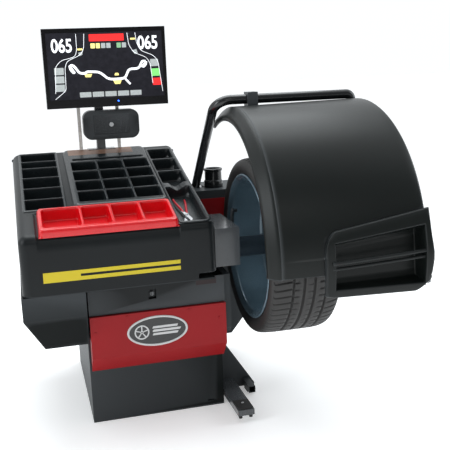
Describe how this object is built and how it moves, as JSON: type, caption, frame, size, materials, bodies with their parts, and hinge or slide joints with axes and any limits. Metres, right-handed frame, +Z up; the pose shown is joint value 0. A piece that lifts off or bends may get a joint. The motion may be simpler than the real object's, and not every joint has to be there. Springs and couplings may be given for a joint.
{
  "type": "wheel balancer",
  "caption": "Floor-standing wheel balancer with a wheel clamped on its spindle under a curved guard, weight trays, a screen on a post and a brake pedal.",
  "frame": {"origin": "middle of the cabinet's footprint on the floor", "axes": "+Z up, +X along the spindle towards the wheel, -Y faces the operator"},
  "size_m": [1.339, 1.153, 1.445],
  "materials": {
    "slate_paint": "dark slate powder coat, lightly textured",
    "red_paint": "satin dark red paint",
    "black_plastic": "matte charcoal moulded plastic with a fine grain",
    "hood_plastic": "matte charcoal vacuum-formed plastic",
    "red_plastic": "glossy bright red moulded plastic",
    "badge_plastic": "blank dark oval with a pale rim",
    "yellow_trim": "yellow striped trim, no lettering",
    "bare_steel": "machined bare steel",
    "zinc_steel": "zinc-plated sheet steel",
    "plier_chrome": "chromed tool steel with red dipped grips",
    "black_tube": "semi-gloss black enamel",
    "cast_housing": "painted casting",
    "alloy": "dark blue-grey painted alloy",
    "tyre_rubber": "tread rubber",
    "rubber": "black rubber",
    "screen_glass": null,
    "board_green": "green circuit board",
    "grey_plastic": "light grey moulded plastic"
  },
  "bodies": {
    "frame": {"base_plate": "slate_paint", "base_cabinet": "slate_paint", "side_flare": "slate_paint", "front_panel": "red_paint", "badge_plate": "badge_plastic", "upper_front_plate": "black_plastic", "lower_left_cover": "black_plastic", "lower_right_cover": "black_plastic", "body_shell": "black_plastic", "left_weight_tray": "black_plastic", "centre_weight_tray": "black_plastic", "right_tool_tray": "black_plastic", "trim_stripe": "yellow_trim", "rear_housing": "slate_paint", "housing_red_panel": "red_paint", "hood_hinge": "bare_steel", "frame_plate": "slate_paint", "spindle_housing": "cast_housing", "spindle_bearings": "bare_steel", "brake_caliper": "cast_housing", "force_sensors": "bare_steel", "motor": "cast_housing", "drive_belt": "rubber", "gauge_block": "black_plastic", "monitor_post": "black_tube", "monitor_uprights": "zinc_steel", "control_pod": "black_plastic", "control_board": "board_green", "power_supply": "zinc_steel", "mains_inlet": "black_plastic", "panel_screws": "red_paint"},
    "spindle": {"spindle_shaft": "bare_steel", "centring_cone": "bare_steel", "pulley_and_brake_disc": "cast_housing", "encoder_disc": "zinc_steel"},
    "wheel": {"wheel_rim": "alloy", "tyre": "tyre_rubber"},
    "nut": {"quick_nut": "black_tube"},
    "rotor": {"motor_shaft": "bare_steel"},
    "hood": {"hood_tube": "black_tube", "hood_shell": "hood_plastic", "hood_flange": "hood_plastic", "hood_handle": "hood_plastic", "hood_clamp": "black_plastic"},
    "gauge": {"gauge_rod": "bare_steel"},
    "finger": {"gauge_finger": "grey_plastic"},
    "pedal": {"brake_pedal": "black_tube", "pedal_rubbers": "rubber"},
    "brake": {"brake_shoe": "rubber"},
    "monitor": {"monitor_case": "black_plastic", "monitor_bezel": "black_plastic", "monitor_screen": "screen_glass", "monitor_mount": "black_tube"},
    "red_tray": {"red_weight_tray": "red_plastic"},
    "pliers": {"pliers_lower": "plier_chrome"},
    "pliers_arm": {"pliers_upper": "plier_chrome"},
    "latch": {"latch_key": "bare_steel"},
    "rocker": {"power_rocker": "grey_plastic"},
    "knob": {"pod_knob": "zinc_steel"},
    "adapter": {"adapter_cup": "black_tube"}
  },
  "joints": [
    {"name": "spindle_spin", "type": "hinge", "parent": "frame", "child": "spindle", "pos_m": [0, -0.3, 0.612], "axis": [1, 0, 0], "continuous": true},
    {"name": "wheel_slide", "type": "slide", "parent": "spindle", "child": "wheel", "axis": [1, 0, 0], "range_m": [0, 0.34]},
    {"name": "nut_slide", "type": "slide", "parent": "wheel", "child": "nut", "axis": [1, 0, 0], "range_m": [0, 0.16]},
    {"name": "motor_spin", "type": "hinge", "parent": "frame", "child": "rotor", "pos_m": [0, -0.25, 0.39], "axis": [1, 0, 0], "continuous": true},
    {"name": "hood_lift", "type": "hinge", "parent": "frame", "child": "hood", "pos_m": [0.291, 0.235, 0.745], "axis": [-1, 0, 0], "range_deg": [0, 60]},
    {"name": "gauge_reach", "type": "slide", "parent": "frame", "child": "gauge", "axis": [1, 0, 0], "range_m": [0, 0.16], "stiffness_N_per_m": 10, "springref_m": -0.05},
    {"name": "gauge_swing", "type": "hinge", "parent": "gauge", "child": "finger", "pos_m": [0.33, -0.228, 0.672], "axis": [1, 0, 0], "range_deg": [-60, 30]},
    {"name": "pedal_press", "type": "hinge", "parent": "frame", "child": "pedal", "pos_m": [0.285, -0.222, 0.04], "axis": [1, 0, 0], "range_deg": [0, 3], "stiffness_Nm_per_rad": 40, "springref_deg": -3.44},
    {"name": "brake_press", "type": "slide", "parent": "frame", "child": "brake", "axis": [-1, 0, 0], "range_m": [0, 0.0008]},
    {"name": "monitor_tilt", "type": "hinge", "parent": "frame", "child": "monitor", "pos_m": [-0.089, 0.3, 1.286], "axis": [1, 0, 0], "range_deg": [-15, 3]},
    {"name": "red_tray_lift", "type": "slide", "parent": "frame", "child": "red_tray", "axis": [0, -0.2588, 0.9659], "range_m": [0, 0.12]},
    {"name": "pliers_lift", "type": "slide", "parent": "frame", "child": "pliers", "axis": [0, -0.2588, 0.9659], "range_m": [0, 0.12]},
    {"name": "pliers_close", "type": "hinge", "parent": "pliers", "child": "pliers_arm", "pos_m": [0.146, -0.27448, 0.74367], "axis": [0, -0.2588, 0.9659], "range_deg": [-3, 5]},
    {"name": "latch_turn", "type": "hinge", "parent": "frame", "child": "latch", "pos_m": [-0.012, -0.35, 0.485], "axis": [0, -1, 0], "range_deg": [0, 90]},
    {"name": "rocker_tip", "type": "hinge", "parent": "frame", "child": "rocker", "pos_m": [0.158, 0.323, 0.169], "axis": [1, 0, 0], "range_deg": [0, 10]},
    {"name": "knob_turn", "type": "hinge", "parent": "frame", "child": "knob", "pos_m": [-0.05, 0.226, 1.054], "axis": [0, -1, 0], "range_deg": [-135, 135]},
    {"name": "adapter_lift", "type": "slide", "parent": "frame", "child": "adapter", "axis": [0, 0, 1], "range_m": [0, 0.1]}
  ],
  "couplings": [
    {"joint": "motor_spin", "follows": "spindle_spin", "ratio": 3},
    {"joint": "brake_press", "follows": "pedal_press", "m_per_rad": 0.0152}
  ]
}
